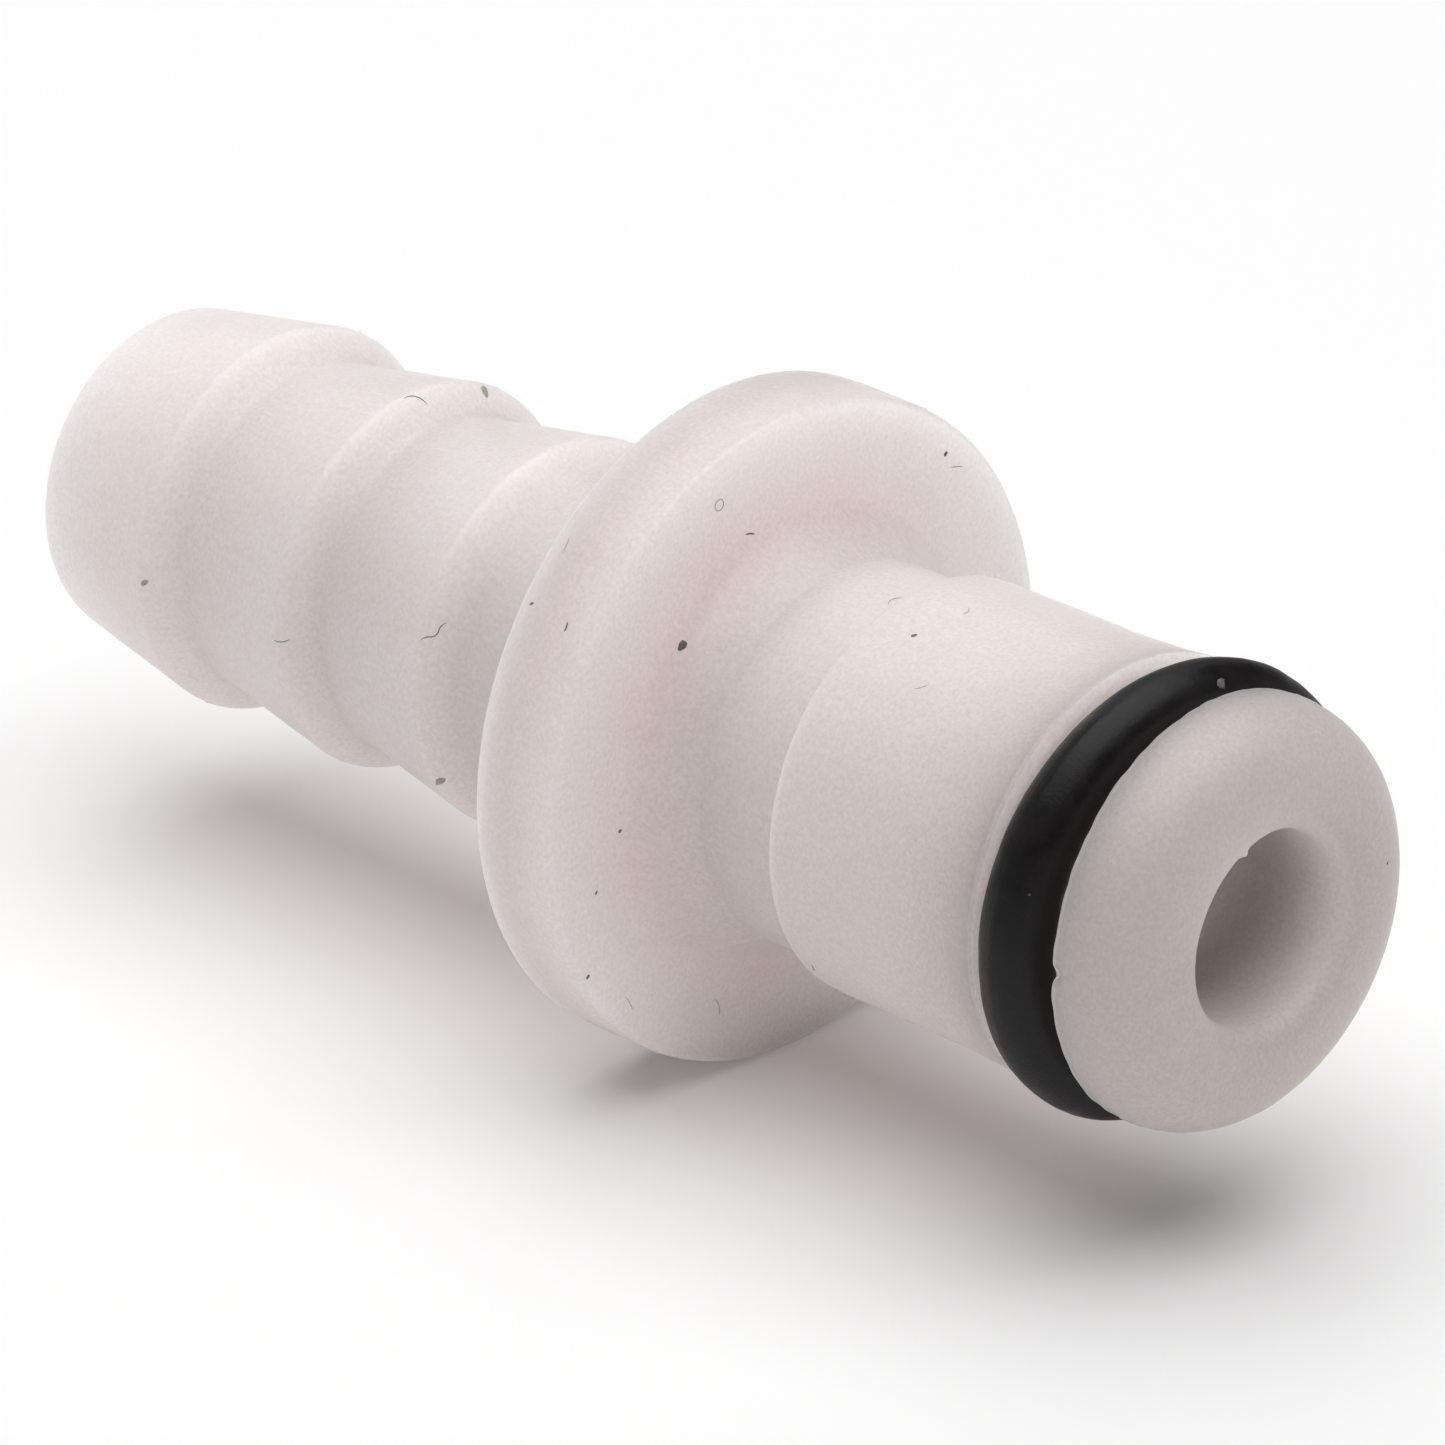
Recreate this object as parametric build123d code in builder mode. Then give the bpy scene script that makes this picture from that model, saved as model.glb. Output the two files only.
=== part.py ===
from build123d import *
import os

# Hose coupling insert: a one-piece moulded body and the O-ring that seals it.
# The flow axis is X. The plug and its nose point to +X, the hose barb to -X.
# The origin is on the axis, in the plane of the flange's front face.
# All sizes are in millimetres.

# Flow bore, the same size from the nose to the hose end
BORE_R = 2.5
MOUTH_ROUND = 0.7
HOSE_MOUTH_ROUND = 0.3

# Flange
FLANGE_R = 8.62
FLANGE_THICK = 2.6
FLANGE_EDGE_ROUND = 0.2

# Latch groove, between the flange and the plug shaft
GROOVE_FLOOR_R = 4.95
SHOULDER_X = 4.3
FLARE_START_X = 1.55
FLARE_FOOT_R = 5.85
FLARE_ROUND = 0.8
FLARE_START_ROUND = 0.1
SHOULDER_FOOT_ROUND = 0.05

# Plug shaft, with a lip beside the O-ring
SHAFT_R = 5.42
SHAFT_END_ROUND = 0.12
LIP_SLOPE_START_X = 8.6
LIP_FOOT_X = 10.6
LIP_FOOT_R = 5.52
LIP_X = 11.3
LIP_R = 5.62
LIP_EDGE_ROUND = 0.05

# O-ring of 1.78 mm section, and its seat
RING_SECTION_R = 0.89
RING_OUTER_R = 5.89
SEAT_WIDTH = 2.45
SEAT_CLEARANCE = 0.03
SEAT_CORNER_ROUND = 0.2

# Domed nose
NOSE_R = 5.5
NOSE_X = 16.1
NOSE_ROUND = 1.88
NOSE_REAR_ROUND = 0.1

# Hose barb
BARB_COUNT = 3
BARB_PITCH = 5.0
FIRST_CREST_X = -8.3
CREST_R = 5.17
ROOT_R = 4.42
BARB_STEP = 0.75
CREST_ROUND = 0.3
ROOT_ROUND = 0.5
NECK_ROUND = 0.8
HOSE_END_X = -23.1
HOSE_END_R = 4.32
HOSE_END_ROUND = 0.8

# Worked out from the sizes above
FLANGE_REAR_X = -FLANGE_THICK
SEAT_FRONT_X = LIP_X + SEAT_WIDTH
RING_CENTRE_R = RING_OUTER_R - RING_SECTION_R
SEAT_FLOOR_R = RING_CENTRE_R - RING_SECTION_R - SEAT_CLEARANCE
CREST_XS = [FIRST_CREST_X - BARB_PITCH * i for i in range(BARB_COUNT)]
MATCH = 0.001


def rim(part, x, r):
    """The circular edges of a part of revolution at x along the axis and radius r."""
    circles = part.edges().filter_by(GeomType.CIRCLE)
    return circles.filter_by(lambda e: abs(e.arc_center.X - x) < MATCH and abs(e.radius - r) < MATCH)


# Each barb rises from the hose end towards the flange, then steps down to the root
barb_corners = []
for crest_x in CREST_XS:
    barb_corners += [(crest_x + BARB_STEP, ROOT_R), (crest_x, CREST_R)]

with BuildPart() as insert_body:
    # Outer shape, turned about the axis
    with BuildSketch(Plane.XZ):
        with BuildLine():
            Polyline(
                (NOSE_X, 0),
                (NOSE_X, NOSE_R),
                (LIP_X, NOSE_R),
                (LIP_X, LIP_R),
                (LIP_FOOT_X, LIP_FOOT_R),
                (LIP_SLOPE_START_X, SHAFT_R),
                (SHOULDER_X, SHAFT_R),
                (SHOULDER_X, GROOVE_FLOOR_R),
                (FLARE_START_X, GROOVE_FLOOR_R),
                (0, FLARE_FOOT_R),
                (0, FLANGE_R),
                (FLANGE_REAR_X, FLANGE_R),
                (FLANGE_REAR_X, ROOT_R),
                *barb_corners,
                (HOSE_END_X, HOSE_END_R),
                (HOSE_END_X, 0),
                close=True,
            )
        make_face()
    revolve(axis=Axis.X)

    # Flow bore, right through
    with BuildSketch(Plane.YZ.offset(HOSE_END_X)):
        Circle(BORE_R)
    extrude(amount=NOSE_X - HOSE_END_X, mode=Mode.SUBTRACT)

    # Seat of the O-ring, behind the nose
    with BuildSketch(Plane.YZ.offset(LIP_X)):
        Circle(LIP_R)
        Circle(SEAT_FLOOR_R, mode=Mode.SUBTRACT)
    extrude(amount=SEAT_WIDTH, mode=Mode.SUBTRACT)

    # Nose: large round outside, soft edge into the bore
    fillet(rim(insert_body, NOSE_X, NOSE_R), NOSE_ROUND)
    fillet(rim(insert_body, NOSE_X, BORE_R), MOUTH_ROUND)
    fillet(rim(insert_body, SEAT_FRONT_X, NOSE_R), NOSE_REAR_ROUND)
    fillet(rim(insert_body, LIP_X, SEAT_FLOOR_R), SEAT_CORNER_ROUND)
    fillet(rim(insert_body, SEAT_FRONT_X, SEAT_FLOOR_R), SEAT_CORNER_ROUND)

    # Lip of the plug shaft
    fillet(rim(insert_body, LIP_X, LIP_R), LIP_EDGE_ROUND)

    # Latch groove
    fillet(rim(insert_body, SHOULDER_X, SHAFT_R), SHAFT_END_ROUND)
    fillet(rim(insert_body, SHOULDER_X, GROOVE_FLOOR_R), SHOULDER_FOOT_ROUND)
    fillet(rim(insert_body, FLARE_START_X, GROOVE_FLOOR_R), FLARE_START_ROUND)

    # Flange
    fillet(rim(insert_body, 0, FLARE_FOOT_R), FLARE_ROUND)
    fillet(rim(insert_body, 0, FLANGE_R), FLANGE_EDGE_ROUND)
    fillet(rim(insert_body, FLANGE_REAR_X, FLANGE_R), FLANGE_EDGE_ROUND)
    fillet(rim(insert_body, FLANGE_REAR_X, ROOT_R), NECK_ROUND)

    # Barbs: every crest and root is rounded
    for crest_x in CREST_XS:
        fillet(rim(insert_body, crest_x, CREST_R), CREST_ROUND)
        fillet(rim(insert_body, crest_x + BARB_STEP, ROOT_R), ROOT_ROUND)
    fillet(rim(insert_body, HOSE_END_X, HOSE_END_R), HOSE_END_ROUND)
    fillet(rim(insert_body, HOSE_END_X, BORE_R), HOSE_MOUTH_ROUND)

# The O-ring sits in the middle of its seat and stands a little proud of the nose
with BuildPart() as o_ring:
    with BuildSketch(Plane.XZ):
        with Locations((LIP_X + SEAT_WIDTH / 2, RING_CENTRE_R)):
            Circle(RING_SECTION_R)
    revolve(axis=Axis.X)

os.makedirs("parts", exist_ok=True)

insert_body.part.label = "insert_body"
export_step(insert_body.part, "parts/insert_body.step")

o_ring.part.label = "o_ring"
export_step(o_ring.part, "parts/o_ring.step")
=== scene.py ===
import math
import random

import bpy
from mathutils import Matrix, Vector, noise
from mathutils.bvhtree import BVHTree


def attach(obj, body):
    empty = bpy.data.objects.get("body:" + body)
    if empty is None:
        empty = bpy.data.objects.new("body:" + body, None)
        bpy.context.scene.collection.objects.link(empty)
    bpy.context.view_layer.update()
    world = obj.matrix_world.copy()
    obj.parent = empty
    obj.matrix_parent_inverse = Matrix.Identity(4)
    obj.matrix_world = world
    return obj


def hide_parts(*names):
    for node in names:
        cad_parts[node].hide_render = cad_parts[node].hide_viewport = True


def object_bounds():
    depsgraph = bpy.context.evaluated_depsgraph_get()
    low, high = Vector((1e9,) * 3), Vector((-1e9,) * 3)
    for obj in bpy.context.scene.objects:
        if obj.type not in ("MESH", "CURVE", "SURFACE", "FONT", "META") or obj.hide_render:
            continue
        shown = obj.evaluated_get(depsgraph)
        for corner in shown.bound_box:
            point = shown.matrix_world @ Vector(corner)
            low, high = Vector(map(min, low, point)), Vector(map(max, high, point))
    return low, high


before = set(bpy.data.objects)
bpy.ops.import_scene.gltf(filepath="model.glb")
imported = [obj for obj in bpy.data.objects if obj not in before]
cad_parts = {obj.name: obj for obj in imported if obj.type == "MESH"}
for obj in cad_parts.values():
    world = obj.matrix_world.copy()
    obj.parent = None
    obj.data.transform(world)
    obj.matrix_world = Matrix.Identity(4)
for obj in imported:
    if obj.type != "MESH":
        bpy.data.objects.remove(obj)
cad_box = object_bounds()

MM = 0.001

# ---------------------------------------------------------------- sizes, in millimetres
# The axis is X and the origin is in the plane of the flange's front face, as in the CAD model.
# An angle round the axis is in degrees, from +Y towards +Z.
BORE_R = 2.5
NOSE_X, NOSE_R = 16.1, 5.5
LIP_X, LIP_R = 11.3, 5.62
LIP_FOOT_X, LIP_FOOT_R = 10.6, 5.52
LIP_SLOPE_START_X = 8.6
SEAT_FRONT_X, SEAT_FLOOR_R = 13.75, 4.08
SHAFT_R, SHOULDER_X = 5.42, 4.3
GROOVE_R = 4.95
FLARE_START_X, FLARE_FOOT_R = 1.55, 5.85
FLANGE_R, FLANGE_REAR_X = 8.62, -2.6
CREST_R, ROOT_R = 5.17, 4.42
CREST_XS = (-8.3, -13.3, -18.3)
BARB_STEP = 0.75
HOSE_END_X, HOSE_END_R = -23.1, 4.32
RING_X, RING_CENTRE_R, RING_SECTION_R = 12.52, 5.0, 0.89

# Rounding of each corner of the section
MOUTH_ROUND, HOSE_MOUTH_ROUND = 0.7, 0.3
NOSE_ROUND, NOSE_REAR_ROUND = 1.88, 0.1
SEAT_CORNER_ROUND = 0.2
LIP_EDGE_ROUND, LIP_FOOT_ROUND, LIP_SLOPE_ROUND = 0.05, 0.4, 6.0
SHAFT_END_ROUND, SHOULDER_FOOT_ROUND = 0.12, 0.05
FLARE_START_ROUND, FLARE_ROUND = 0.1, 0.8
FLANGE_EDGE_ROUND, NECK_ROUND = 0.2, 0.8
CREST_ROUND, ROOT_ROUND = 0.3, 0.5
HOSE_END_ROUND = 0.8

# The part's section, anticlockwise from the bore's mouth: x, radius, rounding of the corner
OUTER = [
    (NOSE_X, BORE_R, MOUTH_ROUND),
    (NOSE_X, NOSE_R, NOSE_ROUND),
    (SEAT_FRONT_X, NOSE_R, NOSE_REAR_ROUND),
    (SEAT_FRONT_X, SEAT_FLOOR_R, SEAT_CORNER_ROUND),
    (LIP_X, SEAT_FLOOR_R, SEAT_CORNER_ROUND),
    (LIP_X, LIP_R, LIP_EDGE_ROUND),
    (LIP_FOOT_X, LIP_FOOT_R, LIP_FOOT_ROUND),
    (LIP_SLOPE_START_X, SHAFT_R, LIP_SLOPE_ROUND),
    (SHOULDER_X, SHAFT_R, SHAFT_END_ROUND),
    (SHOULDER_X, GROOVE_R, SHOULDER_FOOT_ROUND),
    (FLARE_START_X, GROOVE_R, FLARE_START_ROUND),
    (0.0, FLARE_FOOT_R, FLARE_ROUND),
    (0.0, FLANGE_R, FLANGE_EDGE_ROUND),
    (FLANGE_REAR_X, FLANGE_R, FLANGE_EDGE_ROUND),
    (FLANGE_REAR_X, ROOT_R, NECK_ROUND),
]
for crest_x in CREST_XS:
    OUTER.append((crest_x + BARB_STEP, ROOT_R, ROOT_ROUND))
    OUTER.append((crest_x, CREST_R, CREST_ROUND))
OUTER.append((HOSE_END_X, HOSE_END_R, HOSE_END_ROUND))
OUTER.append((HOSE_END_X, BORE_R, HOSE_MOUTH_ROUND))

# The ring lies a little askew in its seat: how far forward it is at +Y and at +Z
RING_SKEW_Y, RING_SKEW_Z = 0.30, 0.11

# Mesh fineness. Round the axis it is finer within FINE_REACH degrees of a small fault.
LENGTH_STEP = 0.2
BORE_STEP = 0.8
ARC_STEP = math.radians(9)
TURNS = 288
FINE_REACH, FINE_STEP = 3.0, 0.3
RING_SIDES = 64

# Small faults of the moulding and the ring: how high or deep, how wide or far apart, and where
PARTING_ANGLES = (57.0, 237.0)
PARTING_HEIGHT, PARTING_WIDTH = 0.022, 0.07
PARTING_FROM_R = ROOT_R - 0.3
UNEVEN, UNEVEN_SPAN = 0.012, 2.6
RIPPLE_SHARE, RIPPLE_SPAN = 0.4, 0.9
EDGE_UNEVEN, EDGE_WIDTH, EDGE_SPAN = 0.035, 0.16, 0.45
EDGE_WEAR = 0.3
RIM_NICK = (13.84, 5.5, 178.9)
NICK_DEPTH, NICK_WIDTH = 0.30, 0.16
MOUTH_BURR = (15.98, 2.66, 114.0)
BURR_HEIGHT, BURR_WIDTH = 0.18, 0.12
RING_WAVE, RING_WAVE_SPAN = 0.018, 1.7
RING_RIPPLE, RING_RIPPLE_SPAN = 0.008, 0.5
FLASH_HEIGHT, FLASH_WIDTH = 0.012, 0.06


def at(x, r, angle):
    """The point at x along the axis, radius r and angle round the axis."""
    turn = math.radians(angle)
    return Vector((x, r * math.cos(turn), r * math.sin(turn)))


def rounded_loop(corners):
    """The closed section with its corners rounded, as (x, radius) points at short steps."""
    points = []
    n = len(corners)
    for i, (x, r, rounding) in enumerate(corners):
        here = Vector((x, r))
        back = (Vector(corners[i - 1][:2]) - here).normalized()
        ahead = (Vector(corners[(i + 1) % n][:2]) - here).normalized()
        half = back.angle(ahead) / 2
        run = rounding / math.tan(half)
        centre = here + (back + ahead).normalized() * (rounding / math.sin(half))
        start = here + back * run - centre
        end = here + ahead * run - centre
        sweep = start.angle_signed(end)
        count = max(2, math.ceil(abs(sweep) / ARC_STEP))
        for k in range(count + 1):
            turn = -sweep * k / count
            c, s = math.cos(turn), math.sin(turn)
            points.append(centre + Vector((c * start.x - s * start.y, s * start.x + c * start.y)))
    dense = []
    near_bore = BORE_R + 0.01
    for a, b in zip(points, points[1:] + points[:1]):
        step = BORE_STEP if max(a.y, b.y) < near_bore else LENGTH_STEP
        pieces = max(1, math.ceil((b - a).length / step))
        dense += [a.lerp(b, k / pieces) for k in range(pieces)]
    return dense


def turn_angles(fine_at=()):
    """Even angles round the axis, with closer ones near each of fine_at."""
    angles = {round(360 * k / TURNS, 3) for k in range(TURNS)}
    for middle in fine_at:
        angles = {a for a in angles if abs(a - middle) > FINE_REACH}
        count = round(FINE_REACH / FINE_STEP)
        angles |= {round(middle + FINE_STEP * k, 3) for k in range(-count, count + 1)}
    return sorted(angles)


def turned_mesh(name, loop, angles):
    """A closed section turned about X."""
    verts, faces = [], []
    rows = len(loop)
    for angle in angles:
        verts += [at(p.x, p.y, angle) * MM for p in loop]
    for k in range(len(angles)):
        a, b = k * rows, ((k + 1) % len(angles)) * rows
        for i in range(rows):
            j = (i + 1) % rows
            faces.append((a + i, a + j, b + j, b + i))
    mesh = bpy.data.meshes.new(name)
    mesh.from_pydata(verts, [], faces)
    mesh.update()
    for polygon in mesh.polygons:
        polygon.use_smooth = True
    piece = bpy.data.objects.new(name, mesh)
    bpy.context.scene.collection.objects.link(piece)
    return piece


def shift_along_normals(mesh, amount):
    """Moves each point along its normal by amount(point in mm), in mm."""
    normals = [n.vector.copy() for n in mesh.vertex_normals]
    for vertex, normal in zip(mesh.vertices, normals):
        vertex.co += normal * amount(vertex.co / MM) * MM
    mesh.update()


def bump_at(distance, width):
    """A smooth bump of height 1 that dies away over about width."""
    return math.exp(-((distance / width) ** 2))


def body_fault(p):
    """How far the moulding, shrunk a hair as it cooled, stands proud of its true section at p."""
    r = math.hypot(p.y, p.z)
    waves = noise.noise(p / UNEVEN_SPAN) + RIPPLE_SHARE * noise.noise(p / RIPPLE_SPAN)
    proud = UNEVEN * (waves - 1.0)
    for edge_x, edge_r in ((LIP_X, LIP_R), (SEAT_FRONT_X, NOSE_R)):
        near = bump_at(math.hypot(p.x - edge_x, r - edge_r), EDGE_WIDTH)
        proud += EDGE_UNEVEN * near * (noise.noise(p / EDGE_SPAN) - EDGE_WEAR)
    on_outside = r > PARTING_FROM_R and not LIP_X < p.x < SEAT_FRONT_X
    if on_outside:
        for angle in PARTING_ANGLES:
            turn = math.radians(angle)
            across = Vector((0, -math.sin(turn), math.cos(turn)))
            along = Vector((0, across.z, -across.y))
            if p.dot(along) > 0:
                proud += PARTING_HEIGHT * bump_at(p.dot(across), PARTING_WIDTH)
    proud -= NICK_DEPTH * bump_at((p - at(*RIM_NICK)).length, NICK_WIDTH)
    proud += BURR_HEIGHT * bump_at((p - at(*MOUTH_BURR)).length, BURR_WIDTH)
    return proud


def ring_fault(p):
    """Slight waviness of the rubber, and the faint flash line round its outside."""
    r = math.hypot(p.y, p.z)
    proud = RING_WAVE * noise.noise(p / RING_WAVE_SPAN)
    proud += RING_RIPPLE * noise.noise(p / RING_RIPPLE_SPAN)
    outermost = RING_CENTRE_R + RING_SECTION_R
    return proud + FLASH_HEIGHT * bump_at(math.hypot(p.x - RING_X, r - outermost), FLASH_WIDTH)


def moulded_body():
    """The insert's moulded body, turned from its section and given its small faults."""
    angles = turn_angles([*PARTING_ANGLES, RIM_NICK[2], MOUTH_BURR[2]])
    body = turned_mesh("moulded_insert_body", rounded_loop(OUTER), angles)
    shift_along_normals(body.data, body_fault)
    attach(body, "root")
    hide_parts("insert_body")
    return body


def moulded_ring():
    """The O-ring, slightly wavy and a little askew in its seat."""
    loop = []
    for k in range(RING_SIDES):
        turn = 2 * math.pi * k / RING_SIDES
        x = RING_X + RING_SECTION_R * math.cos(turn)
        loop.append(Vector((x, RING_CENTRE_R + RING_SECTION_R * math.sin(turn))))
    ring = turned_mesh("moulded_o_ring", loop, turn_angles())
    shift_along_normals(ring.data, ring_fault)
    for vertex in ring.data.vertices:
        ahead = RING_SKEW_Y * vertex.co.y + RING_SKEW_Z * vertex.co.z
        vertex.co.x += ahead / RING_CENTRE_R
    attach(ring, "root")
    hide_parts("o_ring")
    return ring


# ---------------------------------------------------------------- marks on the surface
def surface_tree(pieces):
    """A search tree of the pieces' faces, in mm."""
    verts, faces = [], []
    for piece in pieces:
        first = len(verts)
        verts += [v.co / MM for v in piece.data.vertices]
        faces += [[first + i for i in f.vertices] for f in piece.data.polygons]
    return BVHTree.FromPolygons(verts, faces)


def fibre(tree, place, length, heading, turns, radius):
    """Points of a thin fibre on the surface, whose heading swings by each of turns in order.

    A heading of 0 points along X, or along Z where the surface faces nearly along X.
    """
    facing_x, lift = 0.3, 0.35
    spot, normal, _, _ = tree.find_nearest(at(*place))
    along = Vector((1, 0, 0)) - normal * normal.x
    if along.length < facing_x:
        along = Vector((0, 0, 1)) - normal * normal.z
    along.normalize()
    across = normal.cross(along)
    steps = 10 * len(turns)
    direction = math.radians(heading)
    flat = [Vector((0, 0))]
    for k in range(steps):
        swing = math.radians(turns[k * len(turns) // steps])
        direction += swing / (steps / len(turns))
        ahead = Vector((math.cos(direction), math.sin(direction)))
        flat.append(flat[-1] + ahead * length / steps)
    middle = sum(flat, Vector((0, 0))) / len(flat)
    path = []
    for q in flat:
        q = q - middle
        hit, facing, _, _ = tree.find_nearest(spot + along * q.x + across * q.y)
        path.append((hit + facing * radius * lift, facing))
    return path


def add_tube(verts, faces, path, radius, closed):
    """A six-sided tube along the path, with tapered ends unless it is closed."""
    sides, blunt, slope = 6, 0.25, 4
    first = len(verts)
    n = len(path)
    for k, (point, facing) in enumerate(path):
        ahead = path[(k + 1) % n][0] if closed or k + 1 < n else point
        behind = path[k - 1][0] if closed or k > 0 else point
        side = (ahead - behind).cross(facing).normalized()
        taper = 1.0 if closed else min(1.0, blunt + slope * min(k, n - 1 - k) / n)
        for j in range(sides):
            turn = 2 * math.pi * j / sides
            offset = side * math.cos(turn) + facing * math.sin(turn)
            verts.append((point + offset * radius * taper) * MM)
    for k in range(n if closed else n - 1):
        for j in range(sides):
            a, b = first + k * sides, first + ((k + 1) % n) * sides
            faces.append((a + j, a + (j + 1) % sides, b + (j + 1) % sides, b + j))
    if not closed:
        faces.append(tuple(first + j for j in reversed(range(sides))))
        faces.append(tuple(first + (n - 1) * sides + j for j in range(sides)))


# The layers of a crumb, as height and width, and its length and breadth: shares of half its size
CRUMB_LAYERS = ((-0.3, 0.9), (0.12, 1.0), (0.28, 0.55))
CRUMB_LONG, CRUMB_SHORT = 1.25, 0.85
CRUMB_SIDES, CRUMB_REACH = 9, (0.75, 1.25)


def add_speck(verts, faces, tree, place, size, seed):
    """A flat crumb pressed into the surface."""
    spot, normal, _, _ = tree.find_nearest(at(*place))
    side = normal.orthogonal().normalized()
    other = normal.cross(side)
    draw = random.Random(seed)
    n = CRUMB_SIDES
    first = len(verts)
    for height, width in CRUMB_LAYERS:
        reach = [draw.uniform(*CRUMB_REACH) for _ in range(n)]
        for j in range(n):
            turn = 2 * math.pi * j / n
            flat = side * math.cos(turn) * CRUMB_LONG + other * math.sin(turn) * CRUMB_SHORT
            offset = flat * size / 2 * width * reach[j]
            verts.append((spot + offset + normal * height * size / 2) * MM)
    for layer in range(len(CRUMB_LAYERS) - 1):
        for j in range(n):
            a, b = first + layer * n, first + (layer + 1) * n
            faces.append((a + j, a + (j + 1) % n, b + (j + 1) % n, b + j))
    faces.append(tuple(first + j for j in reversed(range(n))))
    faces.append(tuple(first + (len(CRUMB_LAYERS) - 1) * n + j for j in range(n)))


# Fibres: (x, radius, angle), length, heading, swings of the heading, thickness
DARK_FIBRES = [
    ((0.0, 6.15, 105.6), 0.30, 60, (30,), 0.045),
    ((-0.88, FLANGE_R, 145.2), 0.26, -60, (-40,), 0.045),
    ((-7.85, 5.1, 160.6), 0.85, 60, (-50, 80, -60), 0.031),
    ((-13.05, CREST_R, 93.0), 0.75, 100, (-90,), 0.028),
    ((-13.04, CREST_R, 181.6), 0.45, -30, (60,), 0.028),
    ((4.79, SHAFT_R, 217.5), 0.40, 60, (20,), 0.026),
]
PALE_FIBRES = [
    ((3.68, GROOVE_R, 94.8), 0.55, 150, (-110,), 0.030),
    ((6.10, SHAFT_R, 93.8), 0.40, 60, (90,), 0.026),
    ((0.0, 7.94, 222.8), 0.50, 20, (15,), 0.026),
    ((0.0, 7.12, 247.3), 0.60, -20, (70,), 0.026),
    ((0.0, 7.83, 43.5), 0.45, 70, (10,), 0.030),
    ((7.05, SHAFT_R, 122.9), 0.40, 20, (40,), 0.022),
    ((-2.1, FLANGE_R, 133.0), 0.45, 85, (25,), 0.024),
]
LOOP_MARK, LOOP_MARK_R, LOOP_MARK_WIRE_R = (0.0, 7.52, 110.9), 0.15, 0.014

# Crumbs: (x, radius, angle), size
DARK_SPECKS = [
    ((0.25, 5.73, 137.8), 0.22),
    ((0.0, 7.89, 48.0), 0.125),
    ((5.71, SHAFT_R, 109.4), 0.125),
    ((0.0, 8.37, 209.9), 0.11),
    ((0.0, 6.18, 185.4), 0.10),
    ((0.0, 7.23, 196.0), 0.09),
    ((16.05, 3.95, 8.1), 0.08),
    ((-2.19, FLANGE_R, 143.9), 0.10),
]
PALE_SPECKS = [
    ((-12.95, 5.15, 64.9), 0.28),
    ((-8.06, CREST_R, 210.9), 0.27),
    ((-18.12, CREST_R, 181.6), 0.17),
]
FIRST_PALE_SEED = 20
RING_LINT, RING_LINT_SIZE, RING_LINT_SEED = (RING_X + 0.8, 5.5, 82.0), 0.26, 50


def marks_piece(name, verts, faces):
    """One piece of fine marks, which moves with the root body."""
    mesh = bpy.data.meshes.new(name)
    mesh.from_pydata(verts, [], faces)
    mesh.update()
    piece = bpy.data.objects.new(name, mesh)
    bpy.context.scene.collection.objects.link(piece)
    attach(piece, "root")
    return piece


def fibre_marks(tree, fibres):
    """The points and faces of some fibres."""
    verts, faces = [], []
    for place, length, heading, turns, thickness in fibres:
        path = fibre(tree, place, length, heading, turns, thickness / 2)
        add_tube(verts, faces, path, thickness / 2, closed=False)
    return verts, faces


def dark_marks(tree):
    """Dark fibres and crumbs on the body, and the lint on the ring."""
    verts, faces = fibre_marks(tree, DARK_FIBRES)
    for seed, (place, size) in enumerate(DARK_SPECKS):
        add_speck(verts, faces, tree, place, size, seed)
    add_speck(verts, faces, tree, RING_LINT, RING_LINT_SIZE, RING_LINT_SEED)
    return marks_piece("dark_marks", verts, faces)


def pale_marks(tree):
    """Paler fibres and crumbs, and a small loop of fibre on the flange."""
    verts, faces = fibre_marks(tree, PALE_FIBRES)
    length = 2 * math.pi * LOOP_MARK_R
    loop = fibre(tree, LOOP_MARK, length, 0, (360,), LOOP_MARK_WIRE_R)
    add_tube(verts, faces, loop[:-1], LOOP_MARK_WIRE_R, closed=True)
    for seed, (place, size) in enumerate(PALE_SPECKS):
        add_speck(verts, faces, tree, place, size, FIRST_PALE_SEED + seed)
    return marks_piece("pale_marks", verts, faces)


# ---------------------------------------------------------------- materials
def new_material(name):
    """An empty material, its nodes and its shader."""
    material = bpy.data.materials.new(name)
    material.use_nodes = True
    return material, material.node_tree, material.node_tree.nodes["Principled BSDF"]


def place_in_mm(tree, stretch=(1, 1, 1)):
    """The point on the object, in mm, stretched along each axis."""
    where = tree.nodes.new("ShaderNodeTexCoord")
    scale = tree.nodes.new("ShaderNodeMapping")
    scale.inputs["Scale"].default_value = [s / MM for s in stretch]
    tree.links.new(where.outputs["Object"], scale.inputs["Vector"])
    return scale.outputs["Vector"]


def mottle(tree, vector, size, detail=3.0, roughness=0.5):
    """Noise whose blotches are about size mm across."""
    node = tree.nodes.new("ShaderNodeTexNoise")
    node.inputs["Scale"].default_value = 1 / size
    node.inputs["Detail"].default_value = detail
    node.inputs["Roughness"].default_value = roughness
    tree.links.new(vector, node.inputs["Vector"])
    return node.outputs["Fac"]


def spread(tree, value, low, high, start=0.3, end=0.7, smooth=False):
    """value from start to end, turned into low to high."""
    node = tree.nodes.new("ShaderNodeMapRange")
    if smooth:
        node.interpolation_type = "SMOOTHSTEP"
    node.inputs["From Min"].default_value = start
    node.inputs["From Max"].default_value = end
    node.inputs["To Min"].default_value = low
    node.inputs["To Max"].default_value = high
    tree.links.new(value, node.inputs["Value"])
    return node.outputs["Result"]


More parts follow.
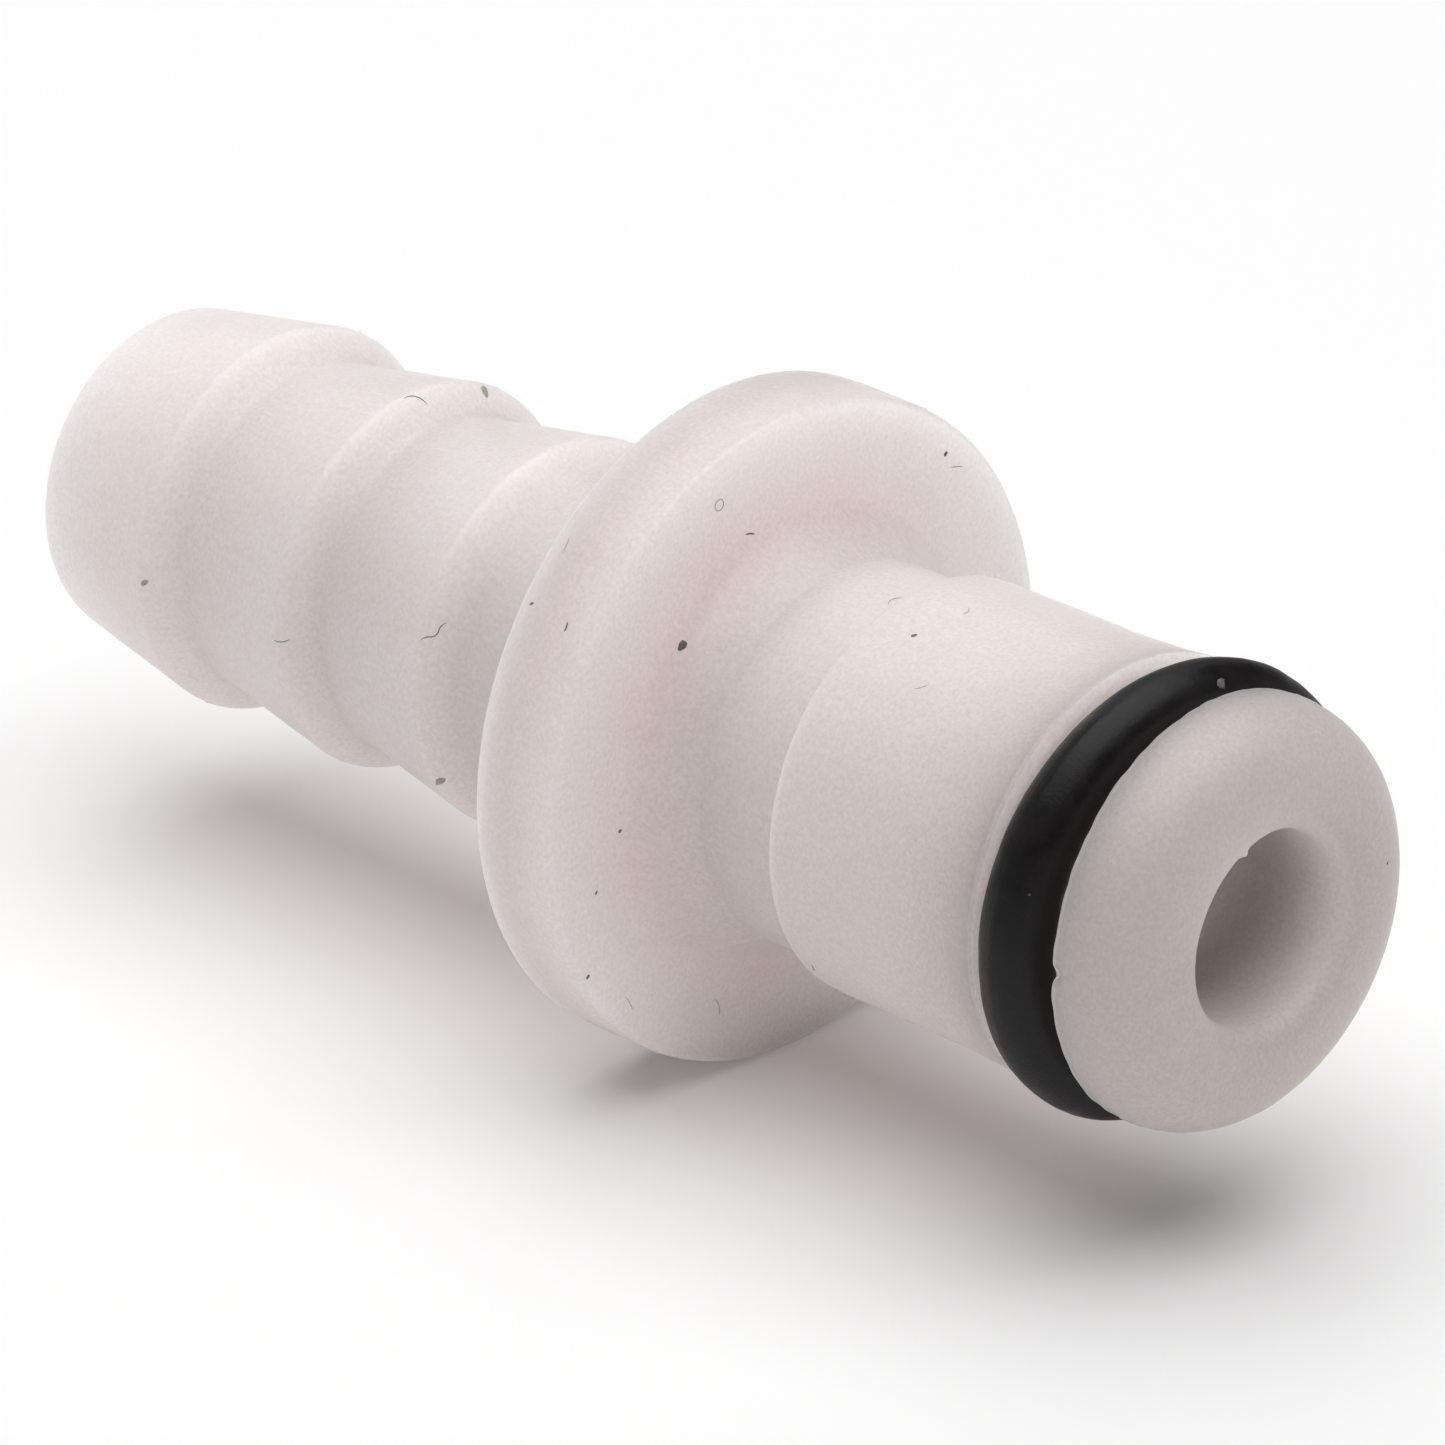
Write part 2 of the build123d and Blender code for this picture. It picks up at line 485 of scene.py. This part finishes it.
def combine(tree, operation, a, b):
    """The operation on two values, each a number or another node's result."""
    node = tree.nodes.new("ShaderNodeMath")
    node.operation = operation
    for socket, value in zip(node.inputs, (a, b)):
        if isinstance(value, (int, float)):
            socket.default_value = value
        else:
            tree.links.new(value, socket)
    return node.outputs["Value"]


def product(tree, *values):
    """All the values multiplied together."""
    result = values[0]
    for value in values[1:]:
        result = combine(tree, "MULTIPLY", result, value)
    return result


def mix_colour(tree, amount, a, b):
    """Colour a where amount is 0 and colour b where it is 1."""
    node = tree.nodes.new("ShaderNodeMix")
    node.data_type = "RGBA"
    tree.links.new(amount, node.inputs["Factor"])
    for name, value in (("A", a), ("B", b)):
        socket = next(s for s in node.inputs if s.name == name and s.type == "RGBA")
        if isinstance(value, tuple):
            socket.default_value = (*value, 1)
        else:
            tree.links.new(value, socket)
    return next(s for s in node.outputs if s.type == "RGBA")


def scale_colour(tree, colour, factor):
    """A colour made darker or lighter by factor."""
    node = tree.nodes.new("ShaderNodeVectorMath")
    node.operation = "SCALE"
    tree.links.new(colour, node.inputs[0])
    tree.links.new(factor, node.inputs["Scale"])
    return node.outputs["Vector"]


def bump(tree, height, depth_mm, strength=1.0):
    """A surface normal that follows height, depth_mm deep."""
    node = tree.nodes.new("ShaderNodeBump")
    node.inputs["Strength"].default_value = strength
    node.inputs["Distance"].default_value = depth_mm * MM
    tree.links.new(height, node.inputs["Height"])
    return node.outputs["Normal"]


def axial(tree):
    """x along the axis, in mm."""
    split = tree.nodes.new("ShaderNodeSeparateXYZ")
    tree.links.new(place_in_mm(tree), split.inputs["Vector"])
    return split.outputs["X"]


def radial(tree):
    """Distance from the axis, in mm."""
    flat = place_in_mm(tree, (0, 1, 1))
    size = tree.nodes.new("ShaderNodeVectorMath")
    size.operation = "LENGTH"
    tree.links.new(flat, size.inputs[0])
    return size.outputs["Value"]


def flecks(tree, spacing, size, share):
    """1 on tiny dots about size mm wide, one in share of the cells of spacing mm, else 0."""
    cells = tree.nodes.new("ShaderNodeTexVoronoi")
    cells.inputs["Scale"].default_value = 1 / spacing
    tree.links.new(place_in_mm(tree), cells.inputs["Vector"])
    dot_r = 0.3 * size / spacing
    near = spread(tree, cells.outputs["Distance"], 1.0, 0.0, dot_r, 2 * dot_r)
    split = tree.nodes.new("ShaderNodeSeparateColor")
    tree.links.new(cells.outputs["Color"], split.inputs["Color"])
    chosen = combine(tree, "LESS_THAN", split.outputs["Red"], share)
    return combine(tree, "MULTIPLY", near, chosen)


# Milky plastic: sizes of its blotches in mm, colours, and how each effect scales the colour; some
# effects are painted shade and painted light
CLOUD_SIZE, GRAIN_SIZE, FLOW_SIZE = 3.2, 0.11, 0.9
FLOW_STRETCH, SCUFF_STRETCH = (0.25, 1, 1), (1.6, 0.5, 0.5)
SCUFF_SIZE, SKIN_SIZE, SKIN_DEPTH = 0.5, 0.45, 0.012
GREYER_MILK, WHITER_MILK = (0.852, 0.716, 0.688), (0.870, 0.738, 0.712)
GRAIN_TONES, FLOW_TONES = (-0.075, 0.065), (0.975, 1.0)
# Painted shade on the nose: the colour is darkened along x towards the nose's tip
NOSE_PAINTED_SHADE, NOSE_SHADE_FADE = 0.68, (7.0, 14.2)
# Painted shade on the flange's rim: darker towards the flange's rear face
RIM_PAINTED_SHADE, RIM_SHADE_FADE = 0.52, (FLANGE_R - 0.4, FLANGE_R - 0.05)
# Painted highlights: thin bright lines painted on the edges on both sides of the ring
PAINTED_EDGE_HIGHLIGHTS = ((LIP_X, 0.22), (SEAT_FRONT_X, 0.45))
THIN_EDGE_FADE = (0.10, 0.20)
THIN_EDGE_FROM_R = (LIP_R - 0.5, LIP_R - 0.3)
# Painted light: the bore and its mouth are painted lighter
BORE_PAINTED_LIGHT, BORE_LIGHT_FADE = 1.25, (BORE_R, BORE_R + 0.5)
DOT_TONE, DOT_SPACING, DOT_SIZE, DOT_SHARE = 0.6, 1.3, 0.05, 0.25
PLASTIC_ROUGH, SCUFF_ROUGH = (0.36, 0.46), (-0.05, 0.07)


def thin_edge_painted_highlight(tree, x, r):
    """Painted highlight on the thin edges on both sides of the ring, standing in for the light
    gathered there: 1, and more on each edge.
    """
    on_outside = spread(tree, r, 0.0, 1.0, *THIN_EDGE_FROM_R)
    tone = 1.0
    for edge_x, gain in PAINTED_EDGE_HIGHLIGHTS:
        away = combine(tree, "ABSOLUTE", combine(tree, "SUBTRACT", x, edge_x), 0)
        painted_glow = product(tree, on_outside, spread(tree, away, gain, 0.0, *THIN_EDGE_FADE))
        tone = product(tree, combine(tree, "ADD", painted_glow, 1.0), tone)
    return tone


def milky_plastic():
    """Natural translucent plastic: cloudy, grained, satin, with painted shade on the nose and on
    the flange's rim, painted light in the bore and painted highlights on the thin edges by the
    ring.
    """
    material, tree, shader = new_material("milky_plastic")
    point, x, r = place_in_mm(tree), axial(tree), radial(tree)
    clouds = mottle(tree, point, CLOUD_SIZE)
    grain = mottle(tree, point, GRAIN_SIZE, detail=2.0, roughness=0.6)
    flow = mottle(tree, place_in_mm(tree, FLOW_STRETCH), FLOW_SIZE)
    colour = mix_colour(tree, spread(tree, clouds, 0, 1), GREYER_MILK, WHITER_MILK)
    grained = spread(tree, grain, *GRAIN_TONES)
    tone = combine(tree, "ADD", grained, spread(tree, flow, *FLOW_TONES))
    # painted shade, darker towards the nose
    nose = spread(tree, x, 1.0, NOSE_PAINTED_SHADE, *NOSE_SHADE_FADE, smooth=True)
    # painted shade on the flange's rim, darker towards its rear face
    to_rear = spread(tree, x, RIM_PAINTED_SHADE, 0.0, FLANGE_REAR_X, 0.0)
    on_rim = spread(tree, r, 0.0, 1.0, *RIM_SHADE_FADE, smooth=True)
    rim = combine(tree, "SUBTRACT", 1.0, product(tree, to_rear, on_rim))
    # painted light in the bore
    bore = spread(tree, r, BORE_PAINTED_LIGHT, 1.0, *BORE_LIGHT_FADE, smooth=True)
    dots = flecks(tree, DOT_SPACING, DOT_SIZE, DOT_SHARE)
    dots = spread(tree, dots, 1.0, DOT_TONE, 0.0, 1.0)
    tone = product(tree, tone, nose, rim, thin_edge_painted_highlight(tree, x, r), bore, dots)
    tree.links.new(scale_colour(tree, colour, tone), shader.inputs["Base Color"])
    scuffs = mottle(tree, place_in_mm(tree, SCUFF_STRETCH), SCUFF_SIZE)
    satin = spread(tree, clouds, *PLASTIC_ROUGH)
    satin = combine(tree, "ADD", satin, spread(tree, scuffs, *SCUFF_ROUGH))
    tree.links.new(satin, shader.inputs["Roughness"])
    skin = mottle(tree, point, SKIN_SIZE, detail=2.0)
    skin = combine(tree, "ADD", spread(tree, grain, 0, 0.35), skin)
    tree.links.new(bump(tree, skin, SKIN_DEPTH, strength=0.7), shader.inputs["Normal"])
    shader.inputs["Subsurface Weight"].default_value = 1.0
    shader.inputs["Subsurface Radius"].default_value = (1.0, 1.0, 1.0)
    shader.inputs["Subsurface Scale"].default_value = 0.010
    shader.inputs["IOR"].default_value = 1.48
    return material


# Black rubber: sizes of its bloom and grain in mm, its colours, and the dust on it
BLOOM_SIZE, RUBBER_GRAIN_SIZE, RUBBER_DEPTH = 1.1, 0.09, 0.014
BARE_RUBBER, BLOOMED_RUBBER = (0.0030, 0.0022, 0.0028), (0.009, 0.0075, 0.0085)
DUST, DUST_SPACING, DUST_SIZE, DUST_SHARE = (0.16, 0.15, 0.15), 0.8, 0.05, 0.18
RUBBER_ROUGH, RUBBER_GRAIN_ROUGH = (0.34, 0.50), (-0.04, 0.04)


def black_rubber():
    """Moulded nitrile: near black, satin, with a dusty bloom and fine grain."""
    material, tree, shader = new_material("black_rubber")
    point = place_in_mm(tree)
    bloom = mottle(tree, point, BLOOM_SIZE, detail=4.0, roughness=0.6)
    grain = mottle(tree, point, RUBBER_GRAIN_SIZE, detail=2.0, roughness=0.6)
    colour = mix_colour(tree, spread(tree, bloom, 0, 1), BARE_RUBBER, BLOOMED_RUBBER)
    dust = flecks(tree, DUST_SPACING, DUST_SIZE, DUST_SHARE)
    tree.links.new(mix_colour(tree, dust, colour, DUST), shader.inputs["Base Color"])
    satin = spread(tree, bloom, *RUBBER_ROUGH)
    satin = combine(tree, "ADD", satin, spread(tree, grain, *RUBBER_GRAIN_ROUGH))
    tree.links.new(satin, shader.inputs["Roughness"])
    skin = combine(tree, "ADD", grain, bloom)
    tree.links.new(bump(tree, skin, RUBBER_DEPTH, strength=0.6), shader.inputs["Normal"])
    shader.inputs["Specular IOR Level"].default_value = 0.24
    return material


GRIME_SIZE, GRIME_DEPTH, GRIME_ROUGH = 0.06, 0.01, (0.6, 0.9)


def grime(name, dark, light):
    """Matt dust and embedded dirt."""
    material, tree, shader = new_material(name)
    patches = mottle(tree, place_in_mm(tree), GRIME_SIZE, roughness=0.6)
    colour = mix_colour(tree, spread(tree, patches, 0, 1), dark, light)
    tree.links.new(colour, shader.inputs["Base Color"])
    tree.links.new(spread(tree, patches, *GRIME_ROUGH), shader.inputs["Roughness"])
    tree.links.new(bump(tree, patches, GRIME_DEPTH), shader.inputs["Normal"])
    return material


body = moulded_body()
ring = moulded_ring()
tree = surface_tree([body, ring])
dark = dark_marks(tree)
pale = pale_marks(tree)
body.data.materials.append(milky_plastic())
ring.data.materials.append(black_rubber())
dark.data.materials.append(grime("dark_grime", (0.09, 0.08, 0.075), (0.20, 0.18, 0.17)))
pale.data.materials.append(grime("pale_grime", (0.30, 0.28, 0.25), (0.50, 0.47, 0.43)))

# ---------------------------------------------------------------- floor, light and camera
# Lengths here are in metres and powers in watts.
FLOOR_SIZE = 4
lowest = cad_box[0].z
bpy.ops.mesh.primitive_plane_add(size=FLOOR_SIZE, location=(0, 0, lowest))
floor = bpy.context.object
floor.name = "studio_floor"
paper, _, paper_shader = new_material("pale_paper")
paper_shader.inputs["Base Color"].default_value = (0.80, 0.80, 0.80, 1)
paper_shader.inputs["Roughness"].default_value = 0.9
paper_shader.inputs["Emission Color"].default_value = (1, 1, 1, 1)
paper_shader.inputs["Emission Strength"].default_value = 0.10
floor.data.materials.append(paper)

world = bpy.data.worlds.new("studio")
bpy.context.scene.world = world
world.use_nodes = True
background = world.node_tree.nodes["Background"]
background.inputs["Color"].default_value = (1, 1, 1, 1)
background.inputs["Strength"].default_value = 0.02


def softbox(name, direction, power, size=0.5, away=0.7):
    """A square soft light that faces the object from that direction."""
    light = bpy.data.lights.new(name, "AREA")
    light.shape = "SQUARE"
    light.size = size
    light.energy = power
    lamp = bpy.data.objects.new(name, light)
    lamp.location = Vector(direction).normalized() * away
    lamp.rotation_euler = (-lamp.location).to_track_quat("-Z", "Y").to_euler()
    bpy.context.scene.collection.objects.link(lamp)


softbox("overhead", (0, 0, 1), 8.0, size=1.0)
softbox("behind_barb", (-1, 0.12, 0.14), 1.05)
softbox("beside_nose", (0.7, 0.7, 0.4), 0.26)
softbox("beside_barb", (-0.6, -0.8, 0.4), 0.34)
softbox("behind", (-0.6, 0.6, 0.5), 0.35)

# The azimuth is measured from -Y towards +X.
AZIMUTH, ELEVATION = math.radians(44.69), math.radians(25.24)
AIM = Vector((-2.79, 0.23, -0.72)) * MM
DISTANCE = 298.6 * MM
camera_data = bpy.data.cameras.new("camera")
camera_data.lens = 299.0
camera_data.sensor_width = 36.0
camera = bpy.data.objects.new("camera", camera_data)
bpy.context.scene.collection.objects.link(camera)
back = Vector(
    (
        math.sin(AZIMUTH) * math.cos(ELEVATION),
        -math.cos(AZIMUTH) * math.cos(ELEVATION),
        math.sin(ELEVATION),
    )
)
camera.location = AIM + back * DISTANCE
camera.rotation_mode = "QUATERNION"
camera.rotation_quaternion = (-back).to_track_quat("-Z", "Y")
camera_data.clip_start, camera_data.clip_end = 0.01, 10
bpy.context.scene.camera = camera
bpy.context.scene.view_settings.view_transform = "Standard"
